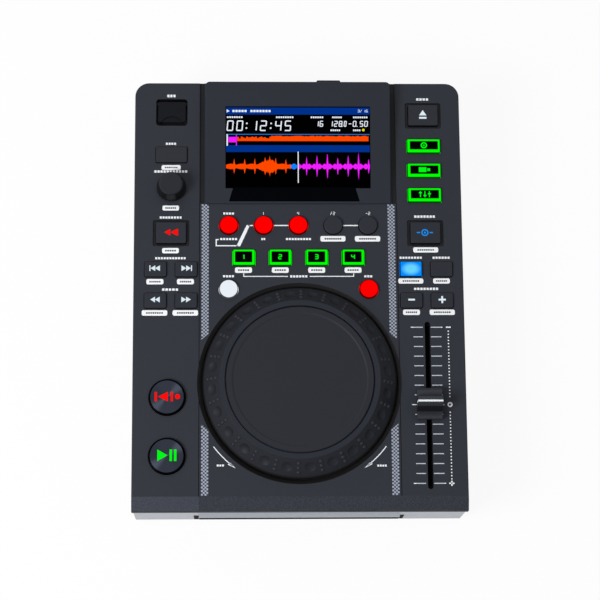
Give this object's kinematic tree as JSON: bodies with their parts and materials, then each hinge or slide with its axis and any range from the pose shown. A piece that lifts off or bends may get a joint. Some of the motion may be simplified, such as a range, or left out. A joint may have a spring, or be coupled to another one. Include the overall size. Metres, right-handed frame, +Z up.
{
  "type": "tabletop dj cd player",
  "caption": "Slot-loading tabletop disc player for DJ use, with a large jog wheel, tilted colour display, pitch fader, lit keys, browse knob and a USB port under a hinged lid.",
  "frame": {"origin": "under the middle of the object's bounding box, on the surface that the rubber feet stand on", "axes": "+Z up, the disc slot faces -Y, the jacks face +Y, the pitch fader is at +X"},
  "size_m": [0.22, 0.2994, 0.071],
  "materials": {
    "cover_plastic": "fine spark texture",
    "hump_plastic": "satin",
    "screen_glass": "clear hard-coated acrylic over black",
    "screen_module": "liquid crystal module",
    "tray_steel": "black powder coat",
    "fascia_silver": "satin silver paint",
    "felt": "black felt",
    "panel_steel": "black powder coat",
    "socket_plastic": "moulded black",
    "bright_steel": "plain",
    "bronze": "sintered",
    "board": "green solder mask",
    "wheel_rubber": "soft-touch",
    "wheel_plate": "fine vinyl-like grain",
    "key_dark": "satin",
    "key_red": "lit from inside",
    "key_green": "lit from inside",
    "key_blue": "lit from inside",
    "key_white": "lit from inside",
    "key_metal": "spun",
    "knob_plastic": "ribbed",
    "fader_plastic": "satin",
    "rubber": "moulded",
    "screw_zinc": "black zinc",
    "drive_sheet": "galvanised"
  },
  "bodies": {
    "case": {"base_tray": "tray_steel", "top_cover": "cover_plastic", "display_housing": "hump_plastic", "display_window": "screen_glass", "display_panel": "screen_module", "front_fascia": "fascia_silver", "slot_felt": "felt", "rear_panel": "panel_steel", "rear_sockets": "socket_plastic", "usb_socket": "bright_steel", "jog_bearing": "bronze", "fader_body": "bright_steel", "main_board": "board", "button_boards": "board", "drive_base": "drive_sheet", "drive_lid": "drive_sheet", "rubber_feet": "rubber", "case_screws": "screw_zinc"},
    "jog_wheel": {"jog_ring": "wheel_rubber", "jog_plate": "wheel_plate", "jog_shaft": "bright_steel"},
    "fader": {"fader_cap": "fader_plastic"},
    "usb_lid": {"usb_cover": "key_dark"},
    "browse_spindle": {"browse_shaft": "bright_steel"},
    "browse_dial": {"browse_knob": "knob_plastic"},
    "power_key": {"power_button": "key_dark"},
    "traverse": {"drive_traverse": "drive_sheet", "spindle_motor": "bright_steel"},
    "turntable": {"spindle_hub": "key_dark"},
    "sled": {"laser_sled": "key_dark"},
    "screw": {"lead_screw": "bright_steel"},
    "roller": {"loading_roller": "rubber"},
    "back_key": {"back_button": "key_dark"},
    "reverse_key": {"reverse_button": "key_dark"},
    "track_previous_key": {"track_previous_button": "key_dark"},
    "track_next_key": {"track_next_button": "key_dark"},
    "search_back_key": {"search_back_button": "key_dark"},
    "search_forward_key": {"search_forward_button": "key_dark"},
    "eject_key": {"eject_button": "key_dark"},
    "source_disc_key": {"source_disc_button": "key_green"},
    "source_usb_key": {"source_usb_button": "key_green"},
    "source_control_key": {"source_control_button": "key_green"},
    "jog_mode_key": {"jog_mode_button": "key_dark"},
    "key_lock_key": {"key_lock_button": "key_blue"},
    "tap_key": {"tap_button": "key_dark"},
    "bend_minus_key": {"bend_minus_button": "key_dark"},
    "bend_plus_key": {"bend_plus_button": "key_dark"},
    "hot_cue_1_key": {"hot_cue_1_button": "key_green"},
    "hot_cue_2_key": {"hot_cue_2_button": "key_green"},
    "hot_cue_3_key": {"hot_cue_3_button": "key_green"},
    "hot_cue_4_key": {"hot_cue_4_button": "key_green"},
    "auto_loop_key": {"auto_loop_button": "key_red"},
    "loop_in_key": {"loop_in_button": "key_red"},
    "loop_out_key": {"loop_out_button": "key_red"},
    "loop_half_key": {"loop_half_button": "key_dark"},
    "loop_double_key": {"loop_double_button": "key_dark"},
    "shift_key": {"shift_button": "key_white"},
    "slip_key": {"slip_button": "key_red"},
    "cue_key": {"cue_button": "key_metal"},
    "play_key": {"play_button": "key_metal"}
  },
  "joints": [
    {"name": "jog_turn", "type": "hinge", "parent": "case", "child": "jog_wheel", "pos_m": [0, -0.0641, 0.057], "axis": [0, 0, 1], "continuous": true},
    {"name": "fader_slide", "type": "slide", "parent": "case", "child": "fader", "axis": [0, 1, 0], "range_m": [-0.05, 0.05]},
    {"name": "usb_lid_hinge", "type": "hinge", "parent": "case", "child": "usb_lid", "pos_m": [-0.08515, 0.1284, 0.0559], "axis": [-1, 0, 0], "range_deg": [0, 95]},
    {"name": "browse_turn", "type": "hinge", "parent": "browse_spindle", "child": "browse_dial", "pos_m": [-0.08515, 0.0692, 0.057], "axis": [0, 0, 1], "continuous": true},
    {"name": "browse_push", "type": "slide", "parent": "case", "child": "browse_spindle", "axis": [0, 0, -1], "range_m": [0, 0.0007], "stiffness_N_per_m": 500},
    {"name": "power_push", "type": "slide", "parent": "case", "child": "power_key", "axis": [0, -1, 0], "range_m": [0, 0.0025], "stiffness_N_per_m": 400},
    {"name": "drive_lift", "type": "hinge", "parent": "case", "child": "traverse", "pos_m": [0, -0.0078, 0.012], "axis": [-1, 0, 0], "range_deg": [0, 2.5]},
    {"name": "play_press", "type": "slide", "parent": "case", "child": "play_key", "axis": [0, 0, -1], "range_m": [0, 0.001], "stiffness_N_per_m": 300},
    {"name": "cue_press", "type": "slide", "parent": "case", "child": "cue_key", "axis": [0, 0, -1], "range_m": [0, 0.001], "stiffness_N_per_m": 300},
    {"name": "eject_press", "type": "slide", "parent": "case", "child": "eject_key", "axis": [0, 0, -1], "range_m": [0, 0.001], "stiffness_N_per_m": 300},
    {"name": "reverse_press", "type": "slide", "parent": "case", "child": "reverse_key", "axis": [0, 0, -1], "range_m": [0, 0.001], "stiffness_N_per_m": 300},
    {"name": "jog_mode_press", "type": "slide", "parent": "case", "child": "jog_mode_key", "axis": [0, 0, -1], "range_m": [0, 0.001], "stiffness_N_per_m": 300},
    {"name": "key_lock_press", "type": "slide", "parent": "case", "child": "key_lock_key", "axis": [0, 0, -1], "range_m": [0, 0.001], "stiffness_N_per_m": 300},
    {"name": "hot_cue_1_press", "type": "slide", "parent": "case", "child": "hot_cue_1_key", "axis": [0, 0, -1], "range_m": [0, 0.001], "stiffness_N_per_m": 300},
    {"name": "auto_loop_press", "type": "slide", "parent": "case", "child": "auto_loop_key", "axis": [0, 0, -1], "range_m": [0, 0.001], "stiffness_N_per_m": 300},
    {"name": "shift_press", "type": "slide", "parent": "case", "child": "shift_key", "axis": [0, 0, -1], "range_m": [0, 0.001], "stiffness_N_per_m": 300},
    {"name": "back_press", "type": "slide", "parent": "case", "child": "back_key", "axis": [0, 0, -1], "range_m": [0, 0.001], "stiffness_N_per_m": 300},
    {"name": "source_disc_press", "type": "slide", "parent": "case", "child": "source_disc_key", "axis": [0, 0, -1], "range_m": [0, 0.001], "stiffness_N_per_m": 300},
    {"name": "disc_spin", "type": "hinge", "parent": "traverse", "child": "turntable", "pos_m": [0, -0.0728, 0.0134], "axis": [0, 0, 1], "continuous": true},
    {"name": "sled_travel", "type": "slide", "parent": "traverse", "child": "sled", "axis": [0, 1, 0], "range_m": [0, 0.033]},
    {"name": "screw_turn", "type": "hinge", "parent": "traverse", "child": "screw", "pos_m": [-0.012, -0.0315, 0.0096], "axis": [0, 1, 0], "range_deg": [0, 991]},
    {"name": "roller_turn", "type": "hinge", "parent": "case", "child": "roller", "pos_m": [0, -0.1372, 0.0105], "axis": [1, 0, 0], "continuous": true},
    {"name": "track_previous_press", "type": "slide", "parent": "case", "child": "track_previous_key", "axis": [0, 0, -1], "range_m": [0, 0.001], "stiffness_N_per_m": 300},
    {"name": "track_next_press", "type": "slide", "parent": "case", "child": "track_next_key", "axis": [0, 0, -1], "range_m": [0, 0.001], "stiffness_N_per_m": 300},
    {"name": "search_back_press", "type": "slide", "parent": "case", "child": "search_back_key", "axis": [0, 0, -1], "range_m": [0, 0.001], "stiffness_N_per_m": 300},
    {"name": "search_forward_press", "type": "slide", "parent": "case", "child": "search_forward_key", "axis": [0, 0, -1], "range_m": [0, 0.001], "stiffness_N_per_m": 300},
    {"name": "source_usb_press", "type": "slide", "parent": "case", "child": "source_usb_key", "axis": [0, 0, -1], "range_m": [0, 0.001], "stiffness_N_per_m": 300},
    {"name": "source_control_press", "type": "slide", "parent": "case", "child": "source_control_key", "axis": [0, 0, -1], "range_m": [0, 0.001], "stiffness_N_per_m": 300},
    {"name": "tap_press", "type": "slide", "parent": "case", "child": "tap_key", "axis": [0, 0, -1], "range_m": [0, 0.001], "stiffness_N_per_m": 300},
    {"name": "bend_minus_press", "type": "slide", "parent": "case", "child": "bend_minus_key", "axis": [0, 0, -1], "range_m": [0, 0.001], "stiffness_N_per_m": 300},
    {"name": "bend_plus_press", "type": "slide", "parent": "case", "child": "bend_plus_key", "axis": [0, 0, -1], "range_m": [0, 0.001], "stiffness_N_per_m": 300},
    {"name": "hot_cue_2_press", "type": "slide", "parent": "case", "child": "hot_cue_2_key", "axis": [0, 0, -1], "range_m": [0, 0.001], "stiffness_N_per_m": 300},
    {"name": "hot_cue_3_press", "type": "slide", "parent": "case", "child": "hot_cue_3_key", "axis": [0, 0, -1], "range_m": [0, 0.001], "stiffness_N_per_m": 300},
    {"name": "hot_cue_4_press", "type": "slide", "parent": "case", "child": "hot_cue_4_key", "axis": [0, 0, -1], "range_m": [0, 0.001], "stiffness_N_per_m": 300},
    {"name": "loop_in_press", "type": "slide", "parent": "case", "child": "loop_in_key", "axis": [0, 0, -1], "range_m": [0, 0.001], "stiffness_N_per_m": 300},
    {"name": "loop_out_press", "type": "slide", "parent": "case", "child": "loop_out_key", "axis": [0, 0, -1], "range_m": [0, 0.001], "stiffness_N_per_m": 300},
    {"name": "loop_half_press", "type": "slide", "parent": "case", "child": "loop_half_key", "axis": [0, 0, -1], "range_m": [0, 0.001], "stiffness_N_per_m": 300},
    {"name": "loop_double_press", "type": "slide", "parent": "case", "child": "loop_double_key", "axis": [0, 0, -1], "range_m": [0, 0.001], "stiffness_N_per_m": 300},
    {"name": "slip_press", "type": "slide", "parent": "case", "child": "slip_key", "axis": [0, 0, -1], "range_m": [0, 0.001], "stiffness_N_per_m": 300}
  ],
  "couplings": [
    {"joint": "screw_turn", "follows": "sled_travel", "rad_per_m": 523.6}
  ]
}
